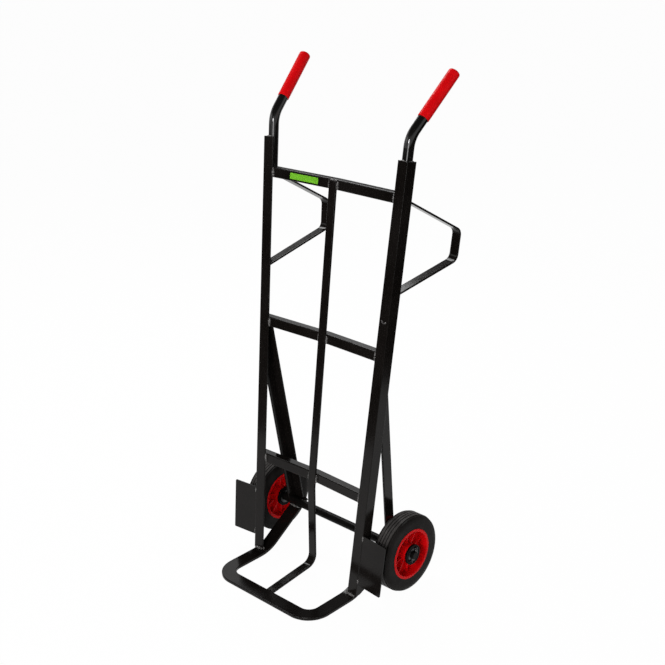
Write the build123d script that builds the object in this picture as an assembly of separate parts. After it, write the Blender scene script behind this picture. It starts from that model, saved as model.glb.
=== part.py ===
from build123d import *
import os
from math import acos, atan2, cos, degrees, hypot, radians, sin, tan

# Sack truck: two leaning uprights, three crossbars, a bent toe and a pair of solid-tyred wheels.
# Millimetres and degrees, +X to the right seen from the toe, +Y to the back, +Z up, floor at Z = 0.
# The pieces are drawn with the axle above the X axis, and the whole truck is centred on Y at the end.

# Frame
frame_lean = 7.2            # uprights lean back
frame_splay = 2.48          # each upright leans outwards
frame_vee = 2.9             # each half of a crossbar runs forwards to its upright
foot_half_width = 182.5     # middle of the truck to an upright's outer face, at floor level
upright_length = 1095.0     # along the slope, from floor level
weld_gap = 0.1              # fit between pieces that are welded together
bar_edge = 1.5              # rounding of the edges of angle bar and flat bar

# Angle bar of the uprights and the struts
angle_leg = 30.0
angle_wall = 4.0

# Crossbars, with heights along the slope
crossbar_size = 25.0
crossbar_wall = 2.0
crossbar_bore_corner = 0.5
lower_crossbar_height = 254.0    # underside
middle_crossbar_height = 619.0   # underside
top_crossbar_drop = 98.5         # underside below the uprights' ends

# Toe, a flat bar bent to a U whose two tails rise to the axle
toe_inset = 4.5             # inside the uprights' outer faces, at floor level
toe_length = 155.7          # front edge ahead of the uprights' front faces, at floor level
toe_bar_width = 38.0
toe_bar_thickness = 8.0
toe_corner_radius = 46.0    # along the middle of the bar
toe_bend_inset = 17.3       # bend of the tails behind the uprights' front faces
toe_bend_radius = 98.0      # along the middle of the bar
toe_tail = 28.0             # tails reach behind the axle

# Centre bar, a flat bar down the front of the crossbars and forwards to the toe
centre_bar_width = 23.0
centre_bar_thickness = 6.0
centre_bar_top_inset = 4.0       # below the top of the top crossbar
centre_bar_knee_drop = 14.0      # knee below the lower crossbar
centre_bar_knee_radius = 120.0
centre_bar_foot_setback = 193.0  # foot bend behind the toe's front edge
centre_bar_foot_rise = 16.4      # foot bend above the toe end
centre_bar_foot_radius = 28.0

# Struts, from the axle up into the uprights under the middle crossbar
strut_inset = 5.5           # at the axle, inside the uprights' outer faces at floor level
strut_setback = 22.0        # back face behind the axle's middle
strut_top_depth = 17.0      # back face behind the upright's front face, at the top

# Rear loops, flat bars behind the uprights, with heights along the slope
loop_width = 25.0
loop_thickness = 5.0
loop_bend_radius = 20.0
loop_depth = 222.5          # back of the loop behind the upright's front face, mid-bar
loop_drop = 91.6            # upper end below the upright's end
loop_shoulder_drop = 81.0   # upper bend below the upper end
loop_back = 73.5            # between the two bends
loop_foot_drop = 70.6       # lower end below the lower bend

# Wheel guards, flat plates beside the uprights
guard_width = 75.0
guard_height = 133.5
guard_thickness = 3.0
guard_start = 44.0          # lower edge above the floor, along the slope
guard_inset = 1.0           # behind the upright's front face
guard_corner = 3.0

# Handles
handle_diameter = 25.0
handle_wall = 2.5
handle_rise = 29.5          # bend starts above the upright's end
handle_bend_radius = 64.0
handle_bend = 38.5
handle_spread = 3.3         # handles turn outwards beyond the upright's own turn
handle_neck = 31.0          # bare tube between the bend and the grip

# Grips
grip_length = 133.0
grip_wall = 1.75
grip_end = 4.0              # closed end beyond the tube
grip_fit = 0.05
grip_tip_radius = 5.0
grip_mouth_radius = 0.8

# Wheels
wheel_diameter = 200.0
wheel_front_gap = 35.0      # tyres behind the uprights' front faces at floor level
wheel_side_gap = 18.5       # tyres beside the uprights' outer faces at floor level
tyre_width = 50.0
tyre_seat_radius = 62.0
tyre_side_drop = 18.0       # sides curve in from here, below the tread
tyre_shoulder_width = 43.0
tyre_shoulder_edge = 1.5
tyre_fit = 0.05
tread_width = 32.0
tread_step = 2.0            # tread stands above the shoulders
tread_edge = 0.6            # rounding of the tread's edges
tread_grooves = 3
tread_groove_width = 2.6
tread_groove_depth = 2.2

# Wheel centres
rim_wall = 4.0
rim_lip_height = 3.8
rim_lip_width = 4.5
rim_lip_proud = 1.0         # lips stand out beyond the tyre's sides
rim_lip_rounding = 1.6
web_thickness = 4.0
hub_wall = 7.95
rib_count = 10
rib_thickness = 3.0
rib_inset = 14.0            # ribs end inside the tyre's sides

# Axle, bushes and washers
journal_diameter = 20.0
axle_step = 1.0             # shoulder between the axle and its journals
axle_chamfer = 1.0
axial_play = 0.3
washer_width = 8.0          # from the journal out
washer_thickness = 3.0
washer_fit = 0.2
bush_fit = 0.05             # bush in wheel centre, and journal in bush
bush_wall = 5.95
bush_sleeve_gap = 0.4       # between the ends of a wheel's two sleeves
bush_recess_fit = 1.5       # round the washer
bush_recess_depth = 3.0
bush_flange_rim = 7.0       # round the recess
bush_flange_floor = 2.0     # under the recess
bush_flange_rounding = 1.0

# Split pins
pin_diameter = 3.0
pin_tip_diameter = 1.5
pin_fit = 0.1
pin_angle = 55.0            # round the axle, from +Y up
pin_overhang = 4.0          # shank beyond each side of the axle
pin_eye_radius = 3.0
pin_leg_length = 8.0
pin_leg_spread = 50.0
pin_to_axle_end = 5.0

# Label plate, on the left half of the top crossbar
label_width = 90.0
label_height = 15.0
label_thickness = 0.6
label_corner = 1.0
label_offset = 95.0         # middle of the plate from the middle of the truck

# Heights along the slope
top_crossbar_height = upright_length - top_crossbar_drop
loop_top = upright_length - loop_drop
loop_shoulder = loop_top - loop_shoulder_drop
loop_elbow = loop_shoulder - loop_back
loop_foot = loop_elbow - loop_foot_drop

# Places across and along the truck
axle_height = wheel_diameter / 2
upright_setback = axle_height + wheel_front_gap
toe_reach = upright_setback + toe_length
toe_half_width = foot_half_width - toe_inset
strut_half_width = foot_half_width - strut_inset
wheel_half_track = foot_half_width + wheel_side_gap + tyre_width / 2

# Radii round the axle
axle_diameter = journal_diameter + 2 * axle_step
washer_radius = journal_diameter / 2 + washer_width
bush_sleeve_radius = journal_diameter / 2 + bush_fit + bush_wall
bush_recess_radius = washer_radius + bush_recess_fit
bush_flange_radius = bush_recess_radius + bush_flange_rim
hub_radius = bush_sleeve_radius + bush_fit + hub_wall
rim_lip_radius = tyre_seat_radius + rim_lip_height

# Places along the axle, from the middle of a wheel or of the truck
bush_flange_thickness = bush_flange_floor + bush_recess_depth
hub_half_length = tyre_width / 2 + bush_flange_thickness
recess_place = hub_half_length - bush_recess_depth
washer_seat = recess_place + axial_play
axle_shoulder = wheel_half_track - washer_seat - washer_thickness - weld_gap
pin_place = wheel_half_track + washer_seat + washer_thickness + pin_fit + pin_diameter / 2
axle_half_length = pin_place + pin_to_axle_end

# Frames of reference
on_slope = Pos(0, -upright_setback, 0) * Rot(-frame_lean, 0, 0)
on_upright = on_slope * Pos(foot_half_width, 0, 0) * Rot(0, frame_splay, 0) * Rot(0, 0, -frame_vee)
side_leg_face = Plane(on_upright * Pos(-angle_wall - weld_gap, 0, 0) * Rot(0, 90, 0))
front_leg_face = Plane(on_upright * Pos(0, angle_wall + weld_gap, 0) * Rot(-90, 0, 0))

# Slope of the toe's tails, whose top faces touch the underside of the axle
tail_run = upright_setback - toe_bend_inset
tail_drop = axle_height - toe_bar_thickness / 2
tail_depth = axle_diameter / 2 + weld_gap + toe_bar_thickness / 2
tail_slope = acos(tail_depth / hypot(tail_drop, tail_run)) - atan2(tail_run, tail_drop)
tail_start = -tail_run - toe_bend_radius * tan(tail_slope / 2) - toe_bar_thickness


def mirrored(piece):
    return mirror(piece, about=Plane.YZ)


def grouped(parts):
    return Compound([solid for part in parts for solid in part.solids()])


def half_width(height):
    return foot_half_width + height * tan(radians(frame_splay))


# Front face of the crossbars at the middle of the truck, behind the uprights' front faces
def crossbar_front(height):
    vee = radians(frame_vee)
    reach = half_width(height + crossbar_size)
    return (angle_wall + weld_gap + reach * sin(vee)) / cos(vee)


# L section with its corner at the origin, one leg along -X and the other along +Y
def angle_section():
    corner = (Align.MAX, Align.MIN)
    hollow = Pos(-angle_wall, angle_wall) * Rectangle(angle_leg, angle_leg, align=corner)
    section = Rectangle(angle_leg, angle_leg, align=corner) - hollow
    tips = [(0, 0), (-angle_leg, 0), (-angle_leg, angle_wall), (-angle_wall, angle_leg), (0, angle_leg)]
    for tip in tips:
        section = fillet(section.vertices().sort_by_distance(tip)[0], bar_edge)
    return section


def flat_bar(path, width, thickness):
    start = Plane(origin=path @ 0, x_dir=(1, 0, 0), z_dir=path % 0)
    return sweep(start * RectangleRounded(width, thickness, bar_edge), path=path)


# Line along a toe tail, from before its bend to its end, at a distance above the middle of the bar
def tail_line(side, above):
    corner = -tail_run - above * tan(tail_slope / 2)
    level = toe_bar_thickness / 2 + above
    length = (tail_run + toe_tail) / cos(tail_slope)
    rise = length * sin(tail_slope)
    end = corner + length * cos(tail_slope)
    points = [(side, tail_start, level), (side, corner, level), (side, end, level + rise)]
    return FilletPolyline(*points, radius=toe_bend_radius - above)


# Everything under the tails' top faces
def under_tails():
    line = tail_line(0, toe_bar_thickness / 2 + weld_gap)
    first = line @ 0
    last = line @ 1
    far = Vector(0, last.Y + toe_reach, last.Z)
    near = Vector(0, first.Y - toe_reach, first.Z)
    drop = Vector(0, 0, -toe_reach)
    border = Polyline(last, far, far + drop, near + drop, near, first)
    return extrude(make_face(line.edges() + border.edges()), amount=2 * toe_half_width, both=True)


def make_upright():
    bar = extrude(angle_section(), amount=upright_length) + extrude(angle_section(), amount=-angle_leg)
    return on_upright * bar - under_tails()


def make_crossbar(height):
    bore = crossbar_size - 2 * crossbar_wall
    section = RectangleRounded(crossbar_size, crossbar_size, crossbar_bore_corner + crossbar_wall)
    section -= RectangleRounded(bore, bore, crossbar_bore_corner)
    middle = crossbar_size / 2
    reach = half_width(height + crossbar_size) + angle_leg
    half = extrude(Plane.YZ * Pos(middle, middle) * section, amount=reach, both=True)
    half = on_slope * Pos(0, crossbar_front(height), height) * Rot(0, 0, -frame_vee) * half
    half = split(half, Plane.YZ, keep=Keep.TOP)
    half = split(half, side_leg_face, keep=Keep.BOTTOM)
    return half + mirrored(half)


def make_toe_frame():
    side = toe_half_width - toe_bar_width / 2
    front = -toe_reach + toe_bar_width / 2
    middle = toe_bar_thickness / 2
    corners = [(-side, tail_start), (-side, front), (side, front), (side, tail_start)]
    path = FilletPolyline(*[(x, y, middle) for x, y in corners], radius=toe_corner_radius)
    hoop = flat_bar(path, toe_bar_width, toe_bar_thickness)
    tail = flat_bar(tail_line(side, 0), toe_bar_width, toe_bar_thickness)
    return hoop + tail + mirrored(tail)


def make_centre_bar():
    half = centre_bar_thickness / 2
    top = top_crossbar_height + crossbar_size - centre_bar_top_inset
    knee = lower_crossbar_height - centre_bar_knee_drop
    behind = half + weld_gap + centre_bar_width / 2 * tan(radians(frame_vee))
    top_depth = crossbar_front(top_crossbar_height) - behind
    lower_depth = crossbar_front(lower_crossbar_height) - behind
    slope = (top_depth - lower_depth) / (top_crossbar_height - lower_crossbar_height)
    ends = [lower_depth + slope * (s - lower_crossbar_height) for s in (top, knee)]
    upper = [(on_slope * Pos(0, d, s)).position for d, s in zip(ends, (top, knee))]
    toe_back = -toe_reach + toe_bar_width + weld_gap
    toe_end = Vector(0, toe_back, toe_bar_thickness - half)
    foot = Vector(0, -toe_reach + centre_bar_foot_setback, toe_end.Z + centre_bar_foot_rise)
    past_end = toe_end + (toe_end - foot).normalized() * centre_bar_thickness
    radii = [centre_bar_knee_radius, centre_bar_foot_radius]
    path = FilletPolyline(*upper, foot, past_end, radius=radii)
    bar = flat_bar(path, centre_bar_width, centre_bar_thickness)
    return split(bar, Plane(origin=toe_end, z_dir=(0, 1, 0)), keep=Keep.TOP)


def make_strut():
    low = Vector(strut_half_width, strut_setback, axle_height)
    top_height = middle_crossbar_height / cos(radians(frame_splay))
    high = (on_upright * Pos(-angle_wall - weld_gap, strut_top_depth, top_height)).position
    along = (high - low).normalized()
    outwards = Vector(1, 0, 0) - along * along.X
    at_axle = Plane(origin=low, x_dir=outwards, z_dir=along)
    section = Rot(0, 0, 90) * angle_section()
    spare = 2 * angle_leg
    bar = extrude(section, amount=(high - low).length + spare) + extrude(section, amount=-spare)
    bar = at_axle.location * bar
    under_crossbar = Plane(on_slope * Pos(0, 0, middle_crossbar_height - weld_gap))
    bar = split(bar, under_crossbar, keep=Keep.BOTTOM)
    bar = split(bar, front_leg_face, keep=Keep.TOP)
    bar = split(bar, side_leg_face, keep=Keep.BOTTOM)
    bar -= under_tails()
    radius = axle_diameter / 2 + weld_gap
    through = 4 * strut_half_width
    below = (Align.CENTER, Align.MAX, Align.MAX)
    slot = Pos(0, radius, 0) * Box(through, radius + angle_leg, 2 * radius, align=below)
    notch = Cylinder(radius, through, rotation=(0, 90, 0)) + slot
    return bar - Pos(0, 0, axle_height) * Rot(degrees(tail_slope), 0, 0) * notch


# The upper end meets the back of the top crossbar, the lower end runs inside the upright to its front leg
def make_rear_loop():
    front = angle_wall + weld_gap
    back = front + crossbar_size + weld_gap
    side = -angle_wall - weld_gap - loop_width / 2
    profile = [
        (back, loop_top),
        (loop_depth, loop_shoulder),
        (loop_depth, loop_elbow),
        (front, loop_foot),
    ]
    path = FilletPolyline(*[(side, y, z) for y, z in profile], radius=loop_bend_radius)
    bar = flat_bar(path, loop_width, loop_thickness)
    before = (Align.CENTER, Align.MAX, Align.MIN)
    bar -= Pos(side, back, loop_shoulder) * Box(2 * loop_width, loop_depth, loop_depth, align=before)
    return split(on_upright * bar, front_leg_face, keep=Keep.TOP)


def make_wheel_guard():
    plate = RectangleRounded(guard_width, guard_height, guard_corner)
    plate = extrude(Plane.XZ * plate, amount=-guard_thickness)
    middle = guard_start + guard_height / 2
    return on_upright * Pos(weld_gap + guard_width / 2, guard_inset, middle) * plate


# Middle line of a handle in the upright's own frame
def handle_path():
    inset = angle_wall + weld_gap + handle_diameter / 2
    bend = upright_length + handle_rise
    turn = radians(handle_bend)
    run = handle_bend_radius * tan(turn / 2)
    straight = run + handle_neck + grip_length - grip_end
    yaw = radians(handle_spread)
    back = Vector(sin(yaw), cos(yaw), 0) * sin(turn) + Vector(0, 0, cos(turn))
    corner = Vector(-inset, inset, bend + run)
    low = Vector(-inset, inset, top_crossbar_height)
    return FilletPolyline(low, corner, corner + back * straight, radius=handle_bend_radius)


def make_handle_tube():
    path = handle_path()
    section = Circle(handle_diameter / 2) - Circle(handle_diameter / 2 - handle_wall)
    tube = on_upright * sweep(Plane(origin=path @ 0, z_dir=path % 0) * section, path=path)
    on_crossbar = Plane(on_slope * Pos(0, 0, top_crossbar_height + crossbar_size + weld_gap))
    return split(tube, on_crossbar, keep=Keep.TOP)


def make_grip():
    path = handle_path()
    radius = handle_diameter / 2 + grip_wall
    bore = handle_diameter / 2 + grip_fit
    sleeve = extrude(Circle(radius), amount=grip_length)
    sleeve = fillet(sleeve.edges().group_by(Axis.Z)[-1], grip_tip_radius)
    sleeve = fillet(sleeve.edges().group_by(Axis.Z)[0], grip_mouth_radius)
    sleeve -= extrude(Circle(bore), amount=grip_length - grip_end + grip_fit)
    mouth = (path @ 1) - (path % 1) * (grip_length - grip_end)
    return on_upright * Plane(origin=mouth, z_dir=path % 1).location * sleeve


# Wheel pieces are drawn round Z, with the truck's outer side upwards
def make_tyre():
    outer = wheel_diameter / 2
    side = tyre_width / 2
    bead = side + rim_lip_proud - rim_lip_width - tyre_fit
    seat = tyre_seat_radius + tyre_fit
    lip = rim_lip_radius + tyre_fit
    side_end = (outer - tyre_side_drop, side)
    shoulder = (outer - tread_step, tyre_shoulder_width / 2)
    ledge = (outer - tread_step, tread_width / 2)
    tread = (outer, tread_width / 2)
    inner_edge = Polyline((seat, 0), (seat, bead), (lip, bead), (lip, side), side_end)
    curve = TangentArc(side_end, shoulder, tangent=(1, 0))
    outer_edge = Polyline(shoulder, ledge, tread, (outer, 0), (seat, 0))
    half = make_face(inner_edge + curve + outer_edge)
    for corner, rounding in ((shoulder, tyre_shoulder_edge), (tread, tread_edge)):
        half = fillet(half.vertices().sort_by_distance(corner)[0], rounding)
    profile = half + mirror(half, Plane.XZ)
    pitch = tread_width / (tread_grooves + 1)
    for groove in range(1, tread_grooves + 1):
        cut = Rectangle(2 * tread_groove_depth, tread_groove_width)
        profile -= Pos(outer, groove * pitch - tread_width / 2) * cut
    return revolve(Plane.XZ * profile, Axis.Z)


def make_wheel_centre():
    inside = (Align.MIN, Align.CENTER)
    rim_bore = tyre_seat_radius - rim_wall
    bore = bush_sleeve_radius + bush_fit
    hub = Pos(bore, 0) * Rectangle(hub_radius - bore, tyre_width, align=inside)
    web = Pos(bore, 0) * Rectangle(rim_bore - bore + rim_wall / 2, web_thickness, align=inside)
    barrel = Pos(rim_bore, 0) * Rectangle(rim_wall, tyre_width, align=inside)
    lip = RectangleRounded(rim_lip_radius - rim_bore, rim_lip_width, rim_lip_rounding)
    lip_place = tyre_width / 2 + rim_lip_proud - rim_lip_width / 2
    profile = hub + web + barrel
    for side in (-1, 1):
        profile += Pos((rim_lip_radius + rim_bore) / 2, side * lip_place) * lip
    centre = revolve(Plane.XZ * profile, Axis.Z)
    start = (hub_radius + bore) / 2
    length = rim_bore + rim_wall / 2 - start
    rib = Pos(start + length / 2, 0, 0) * Box(length, rib_thickness, tyre_width - 2 * rib_inset)
    return centre + [Rot(0, 0, turn * 360 / rib_count) * rib for turn in range(rib_count)]


def make_bush():
    seat = tyre_width / 2
    flange = Pos(0, 0, seat) * extrude(Circle(bush_flange_radius), amount=bush_flange_thickness)
    flange = fillet(flange.edges().group_by(Axis.Z)[-1], bush_flange_rounding)
    sleeve_end = bush_sleeve_gap / 2
    sleeve = Pos(0, 0, sleeve_end) * extrude(Circle(bush_sleeve_radius), amount=seat - sleeve_end)
    recess = Pos(0, 0, recess_place) * extrude(Circle(bush_recess_radius), amount=bush_recess_depth)
    bore = extrude(Circle(journal_diameter / 2 + bush_fit), amount=hub_half_length)
    return flange + sleeve - recess - bore


def make_washer():
    ring = Circle(washer_radius) - Circle(journal_diameter / 2 + washer_fit)
    return Pos(0, 0, washer_seat) * extrude(ring, amount=washer_thickness)


def make_axle():
    core = Cylinder(axle_diameter / 2, 2 * axle_shoulder)
    journals = Cylinder(journal_diameter / 2, 2 * axle_half_length)
    journals = chamfer(journals.edges().filter_by(GeomType.CIRCLE), axle_chamfer)
    bar = Pos(0, 0, axle_height) * Rot(0, 90, 0) * (core + journals)
    hole = Cylinder(pin_diameter / 2 + pin_fit, 2 * journal_diameter)
    for side in (-1, 1):
        bar -= at_pin(side) * hole
    return bar


def at_pin(side):
    return Pos(side * pin_place, 0, axle_height) * Rot(pin_angle - 90, 0, 0)


def make_split_pin(side):
    reach = journal_diameter / 2 + pin_overhang
    shank = Cylinder(pin_diameter / 2, 2 * reach)
    eye = Torus(pin_eye_radius, pin_diameter / 2, rotation=(0, 90, 0))
    upwards = (Align.CENTER, Align.CENTER, Align.MIN)
    leg = Cone(pin_diameter / 2, pin_tip_diameter / 2, pin_leg_length, align=upwards)
    pin = shank + Pos(0, 0, reach + pin_eye_radius) * eye
    for turn in (-1, 1):
        pin += Pos(0, 0, -reach) * Rot(180 + turn * pin_leg_spread, 0, 0) * leg
    return at_pin(side) * pin


def make_label_plate():
    plate = RectangleRounded(label_width, label_height, label_corner)
    plate = extrude(Plane.XZ * plate, amount=label_thickness)
    height = top_crossbar_height + crossbar_size / 2
    front = Pos(0, crossbar_front(top_crossbar_height), height) * Rot(0, 0, frame_vee)
    return on_slope * front * Pos(-label_offset, -weld_gap, 0) * plate


pieces = {
    "top_crossbar": make_crossbar(top_crossbar_height),
    "middle_crossbar": make_crossbar(middle_crossbar_height),
    "lower_crossbar": make_crossbar(lower_crossbar_height),
    "centre_bar": make_centre_bar(),
    "toe_frame": make_toe_frame(),
    "axle": make_axle(),
    "label_plate": make_label_plate(),
    "split_pins": grouped([make_split_pin(side) for side in (-1, 1)]),
}

paired = {
    "upright": make_upright(),
    "strut": make_strut(),
    "rear_loop": make_rear_loop(),
    "wheel_guard": make_wheel_guard(),
    "handle_tube": make_handle_tube(),
    "grip": make_grip(),
}

on_wheel = Pos(wheel_half_track, 0, axle_height) * Rot(0, 90, 0)
inner_bush = mirror(make_bush(), about=Plane.XY)
paired["tyre"] = on_wheel * make_tyre()
paired["wheel_centre"] = on_wheel * make_wheel_centre()
paired["outer_bush"] = on_wheel * make_bush()
paired["inner_bush"] = on_wheel * inner_bush

for name, piece in paired.items():
    pieces["right_" + name] = piece
    pieces["left_" + name] = mirrored(piece)

washers = [on_wheel * make_washer(), on_wheel * mirror(make_washer(), about=Plane.XY)]
washers += [mirrored(washer) for washer in washers]
pieces["washers"] = grouped(washers)

# Centre the truck front to back and write each piece
whole = grouped(pieces.values()).bounding_box()
centred = Pos(0, -whole.center().Y, 0)
os.makedirs("parts", exist_ok=True)
for name, piece in pieces.items():
    moved = [centred * solid for solid in piece.solids()]
    export_step(Compound(moved), "parts/" + name + ".step")
print("size", whole.size, "axle at y", -whole.center().Y)
print("toe tails rise at", degrees(tail_slope), "degrees")
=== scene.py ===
from math import cos, pi, radians, sin, tan
from random import Random

import bmesh
import bpy
from mathutils import Matrix, Vector


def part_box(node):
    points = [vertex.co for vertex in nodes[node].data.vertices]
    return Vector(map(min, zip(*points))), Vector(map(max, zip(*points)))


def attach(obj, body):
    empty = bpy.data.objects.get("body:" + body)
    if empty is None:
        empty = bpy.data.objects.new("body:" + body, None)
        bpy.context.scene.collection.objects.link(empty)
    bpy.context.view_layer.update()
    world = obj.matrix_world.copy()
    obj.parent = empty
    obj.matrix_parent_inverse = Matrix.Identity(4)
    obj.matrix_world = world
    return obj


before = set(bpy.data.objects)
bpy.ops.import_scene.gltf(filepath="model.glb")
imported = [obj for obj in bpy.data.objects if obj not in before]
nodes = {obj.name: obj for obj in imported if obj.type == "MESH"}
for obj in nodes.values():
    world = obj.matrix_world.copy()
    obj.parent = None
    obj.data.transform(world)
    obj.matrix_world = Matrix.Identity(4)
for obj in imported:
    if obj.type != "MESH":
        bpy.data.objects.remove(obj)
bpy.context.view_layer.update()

print("frame loaded:", len(nodes), "nodes")

# Finishes: colour, roughness and bump come from noise on Object coordinates
noiseUse = {
    "patchDetail": 3, "smearDetail": 4, "grainDetail": 2,
    "patchEnds": (0.35, 0.65),  # noise at which a patch is fully dark or fully light
    "spread": (0.3, 0.7),  # most of a noise lies between these
}


def startFinish(name):
    finish = bpy.data.materials.new(name)
    finish.use_nodes = True
    tree = finish.node_tree
    tree.nodes.clear()
    output = tree.nodes.new("ShaderNodeOutputMaterial")
    shader = tree.nodes.new("ShaderNodeBsdfPrincipled")
    tree.links.new(shader.outputs["BSDF"], output.inputs["Surface"])
    return finish, shader


def findNode(tree, kind):
    return next(node for node in tree.nodes if node.bl_idname == kind)


def objectCoords(tree):
    return tree.nodes.new("ShaderNodeTexCoord").outputs["Object"]


def addNoise(tree, coords, scale, detail):
    noise = tree.nodes.new("ShaderNodeTexNoise")
    noise.inputs["Scale"].default_value = scale
    noise.inputs["Detail"].default_value = detail
    tree.links.new(coords, noise.inputs["Vector"])
    return noise.outputs["Fac"]


def addRamp(tree, factor, stops):
    ramp = tree.nodes.new("ShaderNodeValToRGB")
    while len(ramp.color_ramp.elements) < len(stops):
        ramp.color_ramp.elements.new(0.5)  # moved to its place below
    for element, (place, colour) in zip(ramp.color_ramp.elements, stops):
        element.position = place
        element.color = (*colour, 1)
    tree.links.new(factor, ramp.inputs["Fac"])
    return ramp.outputs["Color"]


def addRange(tree, value, source, target):
    spread = tree.nodes.new("ShaderNodeMapRange")
    spread.inputs["From Min"].default_value, spread.inputs["From Max"].default_value = source
    spread.inputs["To Min"].default_value, spread.inputs["To Max"].default_value = target
    tree.links.new(value, spread.inputs["Value"])
    return spread.outputs["Result"]


def addMath(tree, operation, *values):
    step = tree.nodes.new("ShaderNodeMath")
    step.operation = operation
    for socket, value in zip(step.inputs, values):
        if isinstance(value, bpy.types.NodeSocket):
            tree.links.new(value, socket)
        else:
            socket.default_value = value
    return step.outputs[0]


def addBump(tree, height, strength, depth, under=None):
    bump = tree.nodes.new("ShaderNodeBump")
    bump.inputs["Strength"].default_value = strength
    bump.inputs["Distance"].default_value = depth
    tree.links.new(height, bump.inputs["Height"])
    if under:
        tree.links.new(under, bump.inputs["Normal"])
    return bump.outputs["Normal"]


def makeFinish(name, look):
    finish, shader = startFinish(name)
    tree = finish.node_tree
    coords = objectCoords(tree)
    patches = addNoise(tree, coords, look["patchScale"], noiseUse["patchDetail"])
    stops = list(zip(noiseUse["patchEnds"], (look["dark"], look["light"])))
    tree.links.new(addRamp(tree, patches, stops), shader.inputs["Base Color"])
    smears = addNoise(tree, coords, look["smearScale"], noiseUse["smearDetail"])
    roughness = addRange(tree, smears, noiseUse["spread"], look["roughness"])
    tree.links.new(roughness, shader.inputs["Roughness"])
    grain = addNoise(tree, coords, look["grainScale"], noiseUse["grainDetail"])
    bumped = addBump(tree, grain, look["grainStrength"], look["grainDepth"])
    tree.links.new(bumped, shader.inputs["Normal"])
    shader.inputs["Metallic"].default_value = look["metal"]
    shader.inputs["Specular IOR Level"].default_value = look["specular"]
    return finish


blackCoatLook = {
    "dark": (0.0039, 0.0031, 0.0027), "light": (0.0062, 0.0051, 0.0046), "patchScale": 9,
    "roughness": (0.1, 0.17), "smearScale": 14, "grainScale": 900, "grainStrength": 0.04,
    "grainDepth": 0.0003, "metal": 0, "specular": 0.13,
}
blackCoat = makeFinish("black_coat", blackCoatLook)
tubeCoatLook = {
    "dark": (0.003, 0.0027, 0.0025), "light": (0.005, 0.0046, 0.0043), "patchScale": 12,
    "roughness": (0.07, 0.12), "smearScale": 18, "grainScale": 900, "grainStrength": 0.03,
    "grainDepth": 0.0003, "metal": 0, "specular": 0.42,
}
tubeCoat = makeFinish("tube_coat", tubeCoatLook)
# Welds are black paint; their light patches are painted glints that stand in for highlights on the
# lumps
weldGlintLook = {
    "dark": (0.006, 0.0055, 0.005), "light": (0.13, 0.124, 0.12), "patchScale": 260,
    "roughness": (0.18, 0.34), "smearScale": 320, "grainScale": 900, "grainStrength": 0.2,
    "grainDepth": 0.0004, "metal": 0, "specular": 0.4,
}
weldCoatWithGlints = makeFinish("weld_coat_painted_glints", weldGlintLook)
axleCoatLook = {
    "dark": (0.003, 0.0027, 0.0025), "light": (0.005, 0.0046, 0.0043), "patchScale": 20,
    "roughness": (0.3, 0.42), "smearScale": 30, "grainScale": 900, "grainStrength": 0.05,
    "grainDepth": 0.0003, "metal": 0, "specular": 0.05,
}
axleCoat = makeFinish("axle_coat", axleCoatLook)
redGripLook = {
    "dark": (0.5, 0.002, 0.0035), "light": (0.56, 0.003, 0.005), "patchScale": 25,
    "roughness": (0.28, 0.36), "smearScale": 40, "grainScale": 700, "grainStrength": 0.02,
    "grainDepth": 0.0002, "metal": 0, "specular": 0.04,
}
redGrip = makeFinish("red_grip", redGripLook)
redNylonLook = {
    "dark": (0.46, 0.0018, 0.003), "light": (0.54, 0.0028, 0.0045), "patchScale": 30,
    "roughness": (0.2, 0.28), "smearScale": 50, "grainScale": 900, "grainStrength": 0.04,
    "grainDepth": 0.0002, "metal": 0, "specular": 0.05,
}
redNylon = makeFinish("red_nylon", redNylonLook)
blackNylonLook = {
    "dark": (0.0018, 0.0018, 0.0018), "light": (0.0034, 0.0034, 0.0034), "patchScale": 60,
    "roughness": (0.24, 0.34), "smearScale": 70, "grainScale": 1500, "grainStrength": 0.08,
    "grainDepth": 0.0002, "metal": 0, "specular": 0.03,
}
blackNylon = makeFinish("black_nylon", blackNylonLook)
zincLook = {
    "dark": (0.035, 0.035, 0.036), "light": (0.07, 0.07, 0.07), "patchScale": 120,
    "roughness": (0.28, 0.42), "smearScale": 160, "grainScale": 1800, "grainStrength": 0.1,
    "grainDepth": 0.0002, "metal": 1, "specular": 0.5,
}
zinc = makeFinish("zinc", zincLook)
greenPlateLook = {
    "dark": (0.105, 0.33, 0.012), "light": (0.125, 0.375, 0.016), "patchScale": 40,
    "roughness": (0.3, 0.4), "smearScale": 60, "grainScale": 900, "grainStrength": 0.05,
    "grainDepth": 0.0002, "metal": 0, "specular": 0.2,
}
greenPlate = makeFinish("green_plate", greenPlateLook)

# Rubber with faint rings round the axle on its sides, and a paler tread: partly dust, partly painted
# light for the light falling on the tread from above
tyreLook = {
    "dark": (0.0075, 0.0067, 0.0062), "light": (0.0112, 0.01, 0.0093), "patchScale": 22,
    "roughness": (0.42, 0.55), "smearScale": 35, "grainScale": 700, "grainStrength": 0.15,
    "grainDepth": 0.0004, "metal": 0, "specular": 0.05,
    # the paler tread colour is partly dust and partly painted light from above
    "treadRadius": 0.0985, "treadFade": 0.001, "treadDustAndLitColour": (0.055, 0.051, 0.049),
    "paleScale": 60, "paleDetail": 4, "treadPaleness": (0.55, 1),
    "ringPitch": 0.0042, "ringStrength": 0.12, "ringDepth": 0.0003,
}
axleMiddle = (Vector(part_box("axle")[0]) + Vector(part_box("axle")[1])) / 2


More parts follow.
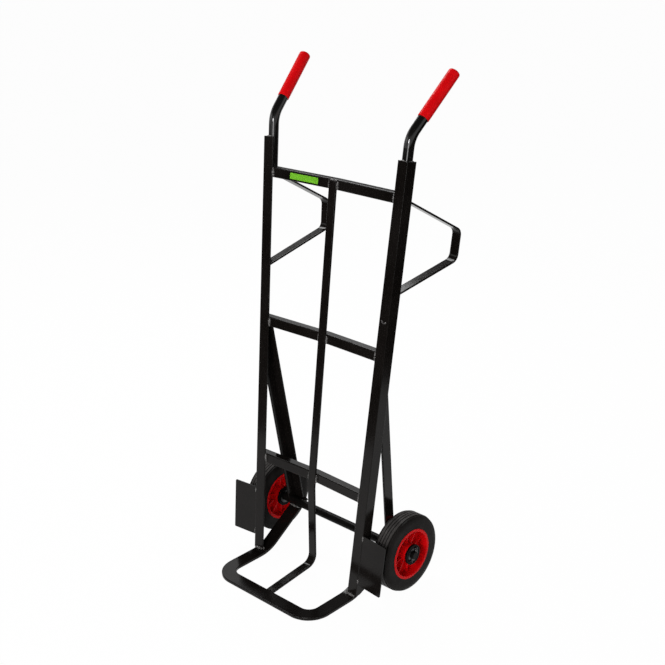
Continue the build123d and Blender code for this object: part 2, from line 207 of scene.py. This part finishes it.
def makeTyreFinish(look):
    finish = makeFinish("tyre_rubber", look)
    tree = finish.node_tree
    shader = findNode(tree, "ShaderNodeBsdfPrincipled")
    coords = objectCoords(tree)
    fromAxle = tree.nodes.new("ShaderNodeVectorMath")
    fromAxle.operation = "MULTIPLY_ADD"
    fromAxle.inputs[1].default_value = (0, 1, 1)  # leaves out the place along the axle
    fromAxle.inputs[2].default_value = (0, -axleMiddle.y, -axleMiddle.z)
    tree.links.new(coords, fromAxle.inputs[0])
    length = tree.nodes.new("ShaderNodeVectorMath")
    length.operation = "LENGTH"
    tree.links.new(fromAxle.outputs["Vector"], length.inputs[0])
    radius = length.outputs["Value"]

    treadEdge = (look["treadRadius"], look["treadRadius"] + look["treadFade"])
    onTread = addRange(tree, radius, treadEdge, (0, 1))
    treadPaleness = addNoise(tree, coords, look["paleScale"], look["paleDetail"])
    paintedLightShare = addMath(tree, "MULTIPLY", onTread, addRange(tree, treadPaleness, noiseUse["spread"], look["treadPaleness"]))
    # painted light: the tread is mixed towards a paler colour for dust and for the light from above
    dustAndPaintedLight = tree.nodes.new("ShaderNodeMix")
    dustAndPaintedLight.data_type = "RGBA"
    dustAndPaintedLight.inputs["B"].default_value = (*look["treadDustAndLitColour"], 1)
    tree.links.new(paintedLightShare, dustAndPaintedLight.inputs["Factor"])
    tree.links.new(shader.inputs["Base Color"].links[0].from_socket, dustAndPaintedLight.inputs["A"])
    tree.links.new(dustAndPaintedLight.outputs["Result"], shader.inputs["Base Color"])

    rings = addMath(tree, "SINE", addMath(tree, "MULTIPLY", radius, 2 * pi / look["ringPitch"]))
    grain = shader.inputs["Normal"].links[0].from_socket
    ringed = addBump(tree, rings, look["ringStrength"], look["ringDepth"], grain)
    tree.links.new(ringed, shader.inputs["Normal"])
    return finish


tyreRubber = makeTyreFinish(tyreLook)

nodeFinishes = {  # by the end of a node's name, and black for the rest
    "grip": redGrip, "tyre": tyreRubber, "wheel_centre": redNylon, "bush": blackNylon,
    "washers": zinc, "split_pins": zinc, "label_plate": greenPlate, "axle": axleCoat,
    "handle_tube": tubeCoat,
}
for name, node in nodes.items():
    finish = next((made for word, made in nodeFinishes.items() if name.endswith(word)), blackCoat)
    node.data.materials.clear()
    node.data.materials.append(finish)
print("finishes set on", len(nodes), "nodes")

# Places on the frame, in millimetres and degrees: heights run up the slope from the foot
truck = {
    "lean": 7.2, "splay": 2.48, "vee": 2.9, "footHalfWidth": 182.5, "setback": 135,
    "uprightLength": 1095, "angleWall": 4, "crossbarSize": 25, "centreBarWidth": 23,
    "crossbars": {"top": 996.5, "middle": 619, "lower": 254},
}


def metres(*place):
    return Vector(place) / 1000


# Axes on the slope of the frame, along the right upright and at the middle of the axle
onSlope = (
    Matrix.Translation(Vector((0, axleMiddle.y, 0)) - metres(0, truck["setback"], 0))
    @ Matrix.Rotation(radians(-truck["lean"]), 4, "X")
)
onUpright = (
    onSlope
    @ Matrix.Translation(metres(truck["footHalfWidth"], 0, 0))
    @ Matrix.Rotation(radians(truck["splay"]), 4, "Y")
    @ Matrix.Rotation(radians(-truck["vee"]), 4, "Z")
)
atAxle = Matrix.Translation((0, axleMiddle.y, axleMiddle.z))


def crossbarFront(height):
    vee = radians(truck["vee"])
    reach = truck["footHalfWidth"] + (height + truck["crossbarSize"]) * tan(radians(truck["splay"]))
    return (truck["angleWall"] + reach * sin(vee)) / cos(vee)


def makeObject(name, shape, finish):
    mesh = bpy.data.meshes.new(name)
    shape.to_mesh(mesh)
    shape.free()
    mesh.materials.append(finish)
    made = bpy.data.objects.new(name, mesh)
    bpy.context.scene.collection.objects.link(made)
    return made


def addPiece(name, shape, finish, body):
    bmesh.ops.recalc_face_normals(shape, faces=shape.faces[:])
    for face in shape.faces:
        face.smooth = True
    piece = makeObject(name, shape, finish)
    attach(piece, body)


# Welds: rippled beads with uneven, tapered ends
bead = {
    "sides": 10, "ringStep": 0.0012, "fewestRings": 6, "ripple": 0.16, "rippleLength": 0.0048,
    "lumps": (0.86, 1.14), "wander": 0.14, "taper": 0.45, "bluntness": 0.3,
}


def addBead(shape, start, end, radius, dice):
    along = end - start
    rings = max(bead["fewestRings"], round(along.length / bead["ringStep"]))
    blank = bmesh.new()
    bmesh.ops.create_cone(
        blank, cap_ends=True, segments=bead["sides"], radius1=radius, radius2=radius, depth=1,
    )
    sides = [edge for edge in blank.edges if edge.verts[0].co.z * edge.verts[1].co.z < 0]  # cap to cap
    bmesh.ops.subdivide_edges(blank, edges=sides, cuts=rings - 1, use_grid_fill=True)
    lumps = [dice.uniform(*bead["lumps"]) for ring in range(rings + 1)]
    wander = [
        [dice.uniform(-1, 1) * bead["wander"] * radius for axis in range(2)]
        for ring in range(rings + 1)
    ]
    for vert in blank.verts:
        share = vert.co.z + 0.5  # 0 at the start, 1 at the end
        ring = round(share * rings)
        ripple = 1 + bead["ripple"] * cos(2 * pi * share * along.length / bead["rippleLength"])
        swell = max(bead["taper"], max(0, sin(pi * share)) ** bead["bluntness"])
        vert.co.x = vert.co.x * lumps[ring] * ripple * swell + wander[ring][0]
        vert.co.y = vert.co.y * lumps[ring] * ripple * swell + wander[ring][1]
        vert.co.z = share * along.length
    blank.transform(Matrix.Translation(start) @ along.to_track_quat("Z", "Y").to_matrix().to_4x4())
    mesh = bpy.data.meshes.new("bead")
    blank.to_mesh(mesh)
    blank.free()
    shape.from_mesh(mesh)
    bpy.data.meshes.remove(mesh)


# Each bead is two ends on the right half and a radius, in millimetres; side -1 mirrors it
def makeWelds(name, axes, beads, finish=weldCoatWithGlints, sides=(1, -1)):
    shape = bmesh.new()
    dice = Random(name)
    for start, end, radius in beads.values():
        ends = [axes @ metres(*point) for point in (start, end)]
        for side in sides:
            mirrored = [Vector((side * point.x, point.y, point.z)) for point in ends]
            addBead(shape, *mirrored, radius / 1000, dice)
    addPiece(name, shape, finish, "frame")


crossbarWeld = {"inset": 31, "depth": 3, "margin": 1, "radius": 3.4}
centreWeld = {"gap": 1.5, "sunk": 2, "shortfall": 3, "radius": 3.4}
centreCap = {"margin": 0.5, "sunk": 1.8, "rise": 22, "radius": 2.8}
crossbarBeads, centreBeads = {}, {}
barSide = truck["centreBarWidth"] / 2
for bar, height in truck["crossbars"].items():
    low = height + crossbarWeld["margin"]
    high = height + truck["crossbarSize"] - crossbarWeld["margin"]
    ends = [(-crossbarWeld["inset"], crossbarWeld["depth"], level) for level in (low, high)]
    crossbarBeads[bar] = (*ends, crossbarWeld["radius"])
    front = crossbarFront(height) - centreWeld["sunk"]
    levels = (low, high - centreWeld["shortfall"])
    ends = [(barSide + centreWeld["gap"], front, level) for level in levels]
    centreBeads[bar] = (*ends, centreWeld["radius"])
capHeight = truck["crossbars"]["top"] + centreCap["rise"]
capFront = crossbarFront(truck["crossbars"]["top"]) - centreCap["sunk"]
capSides = (centreCap["margin"], barSide - centreCap["margin"])
centreBeads["cap"] = (*[(across, capFront, capHeight) for across in capSides], centreCap["radius"])
makeWelds("welds_crossbars", onUpright, crossbarBeads)
makeWelds("welds_centre_bar", onSlope, centreBeads)

guardSeams = {"corner": ((-0.2, 1.3, 45), (-0.2, 1.3, 176.5), 1.2)}
makeWelds("guard_seams", onUpright, guardSeams, blackCoat)
guardBeads = {
    "low": ((0.2, 0.9, 47), (0.2, 0.9, 60), 2.2),
    "high": ((0.2, 0.9, 162), (0.2, 0.9, 176.5), 2.2),
    "lowBehind": ((0.6, 4.6, 60), (0.6, 4.6, 90), 2),
    "highBehind": ((0.6, 4.6, 130), (0.6, 4.6, 160), 2),
}
makeWelds("welds_guards", onUpright, guardBeads)
footBeads = {
    "front": ((-30, -1.2, 11), (-4, -1.2, 11), 4.2),
    "inCorner": ((-4.6, 1, 8.5), (-4.6, 27, 16.5), 3.2),
    "innerEdge": ((-31.5, 0, 11), (-31.5, 5, 12), 3.6),
}
makeWelds("welds_feet", onUpright, footBeads)
axleBeads = {
    "below": ((141, -5, -13), (175, -5, -13), 3),
    "behind": ((141, 14, -0.2), (177, 14, -0.2), 3),
}
makeWelds("welds_axle", atAxle, axleBeads)

loop = {"drop": 91.6, "height": 225}  # from the upright's end to the loop's top, and on to its foot
loopTop = truck["uprightLength"] - loop["drop"]
loopFoot = loopTop - loop["height"]
loopBeads = {
    "aboveTop": ((-28, 30.5, loopTop + 3.6), (-5, 30.5, loopTop + 3.6), 2.2),
    "belowTop": ((-28, 30.5, loopTop - 4.5), (-5, 30.5, loopTop - 4.5), 2.2),
    "footAcross": ((-28, 5.5, loopFoot + 4), (-6, 5.5, loopFoot + 4), 2.2),
    "footAlong": ((-5.2, 8, loopFoot + 5), (-5.2, 29, loopFoot + 12), 2),
}
makeWelds("welds_loops", onUpright, loopBeads)
handle = {"rise": 0.6}
handleFoot = truck["uprightLength"] + handle["rise"]
handleBeads = {
    "front": ((-24, 3, handleFoot), (-10, 3, handleFoot), 1.8),
    "side": ((-3, 10, handleFoot), (-3, 24, handleFoot), 1.8),
}
makeWelds("welds_handles", onUpright, handleBeads)
spotBeads = {  # a small mark on the right upright alone
    "inner": ((-23, -0.3, 723.5), (-14, -0.3, 717.5), 2),
    "outer": ((-14.5, -0.3, 717.5), (-7, -0.3, 721.5), 2),
}
makeWelds("weld_spot", onUpright, spotBeads, sides=(1,))
print("welds laid")

# Studio: a pale floor under soft lamps, with white seen behind it
floorLook = {"size": 160, "colour": (0.86, 0.86, 0.86), "roughness": 0.9, "glow": 0.975}


def isBackgroundRay(tree):
    path = tree.nodes.new("ShaderNodeLightPath")
    either = path.outputs["Is Camera Ray"]
    for kind in ("Is Glossy Ray", "Is Transmission Ray"):
        either = addMath(tree, "MAXIMUM", either, path.outputs[kind])
    return either


def makeFloor(look):
    finish, shader = startFinish("floor_white")
    tree = finish.node_tree
    shader.inputs["Base Color"].default_value = (*look["colour"], 1)
    shader.inputs["Roughness"].default_value = look["roughness"]
    shader.inputs["Specular IOR Level"].default_value = 0
    glow = tree.nodes.new("ShaderNodeEmission")
    glow.inputs["Color"].default_value = (1, 1, 1, 1)
    both = tree.nodes.new("ShaderNodeMixShader")
    tree.links.new(addMath(tree, "MULTIPLY", isBackgroundRay(tree), look["glow"]), both.inputs["Fac"])
    tree.links.new(shader.outputs["BSDF"], both.inputs[1])
    tree.links.new(glow.outputs["Emission"], both.inputs[2])
    tree.links.new(both.outputs[0], findNode(tree, "ShaderNodeOutputMaterial").inputs["Surface"])
    shape = bmesh.new()
    bmesh.ops.create_grid(shape, x_segments=1, y_segments=1, size=look["size"] / 2)
    floor = makeObject("floor", shape, finish)


# Dark screens round the set that only reflections see
screenLook = {
    "colour": (0.01, 0.01, 0.01), "steps": 32,
    "screens": {  # radius, first edge and sweep in degrees from +X, foot, top
        "screen_left": (1.4, 184, 104, 0, 1.1),
        "screen_right": (1.3, 312, 132, 0, 1.1),
        "screen_back": (5, 108, 52, 0.5, 1.42),
    },
}


def makeScreens(look):
    finish, shader = startFinish("screen_cloth")
    shader.inputs["Base Color"].default_value = (*look["colour"], 1)
    shader.inputs["Specular IOR Level"].default_value = 0
    for name, (radius, first, sweep, foot, top) in look["screens"].items():
        shape = bmesh.new()
        across = radius * cos(radians(first))
        along = radius * sin(radians(first))
        shape.edges.new([shape.verts.new((across, along, height)) for height in (foot, top)])
        bmesh.ops.spin(
            shape, geom=shape.verts[:] + shape.edges[:], cent=(0, 0, 0), axis=(0, 0, 1),
            angle=radians(sweep), steps=look["steps"],
        )
        screen = makeObject(name, shape, finish)
        screen.visible_camera = False
        screen.visible_diffuse = False
        screen.visible_shadow = False


skyBands = [  # sine of elevation, brightness
    (0.04, 1.0), (0.17, 0.8), (0.32, 1.0), (0.42, 0.6), (0.5, 0.36), (0.55, 0.12), (0.75, 0.06),
]


def makeSky(bands):
    world = bpy.data.worlds.new("white_room")
    bpy.context.scene.world = world
    world.use_nodes = True
    tree = world.node_tree
    tree.nodes.clear()
    output = tree.nodes.new("ShaderNodeOutputWorld")
    sky = tree.nodes.new("ShaderNodeBackground")
    direction = tree.nodes.new("ShaderNodeSeparateXYZ")
    tree.links.new(tree.nodes.new("ShaderNodeTexCoord").outputs["Generated"], direction.inputs[0])
    stops = [(place, (level, level, level)) for place, level in bands]
    tree.links.new(addRamp(tree, direction.outputs["Z"], stops), sky.inputs["Color"])
    tree.links.new(sky.outputs["Background"], output.inputs["Surface"])


lamps = {
    "lamp_top": {"place": (-1.5, 0.9, 2.8), "aim": (0, 0, 0.6), "size": (1.6, 1.6), "power": 60},
    "lamp_key": {"place": (1.15, -3.7, 2.4), "aim": (0, 0, 0.4), "size": (0.9, 0.9), "power": 75},
    "lamp_front": {"place": (2.1, -3.64, 1.4), "aim": (0, 0, 1.0), "size": (1.4, 2.4), "power": 65},
    "lamp_corner": {
        "place": (-2.45, 1.68, 1.88), "aim": (-0.16, -0.23, 0), "size": (0.5, 0.5), "power": 0.85,
    },
    "lamp_left": {"place": (-2.2, -2.6, 2.4), "aim": (0, 0, 0.6), "size": (1.2, 1.2), "power": 6},
}


def makeLamps(settings):
    for name, lamp in settings.items():
        light = bpy.data.lights.new(name, "AREA")
        light.shape = "ELLIPSE"
        light.size, light.size_y = lamp["size"]
        light.energy = lamp["power"]
        place = Vector(lamp["place"])
        holder = bpy.data.objects.new(name, light)
        holder.location = place
        holder.rotation_euler = (Vector(lamp["aim"]) - place).to_track_quat("-Z", "Y").to_euler()
        bpy.context.scene.collection.objects.link(holder)


makeFloor(floorLook)
makeScreens(screenLook)
makeSky(skyBands)
makeLamps(lamps)
print("studio set with", len(lamps), "lamps")

# Camera at the photograph's angle
photoView = {
    "place": (1.9042, -1.9453, 1.6837), "yaw": 43.868, "pitch": 20.995, "roll": -1.08,
    "lens": 64.8, "sensor": 36,
}
camera = bpy.data.objects.new("camera", bpy.data.cameras.new("camera"))
camera.data.lens = photoView["lens"]
camera.data.sensor_width = photoView["sensor"]
camera.matrix_world = (
    Matrix.Translation(photoView["place"])
    @ Matrix.Rotation(radians(photoView["yaw"]), 4, "Z")
    @ Matrix.Rotation(radians(90 - photoView["pitch"]), 4, "X")
    @ Matrix.Rotation(radians(photoView["roll"]), 4, "Z")
)
bpy.context.scene.collection.objects.link(camera)
bpy.context.scene.camera = camera
bpy.context.scene.view_settings.view_transform = "Standard"

print("scene finished")
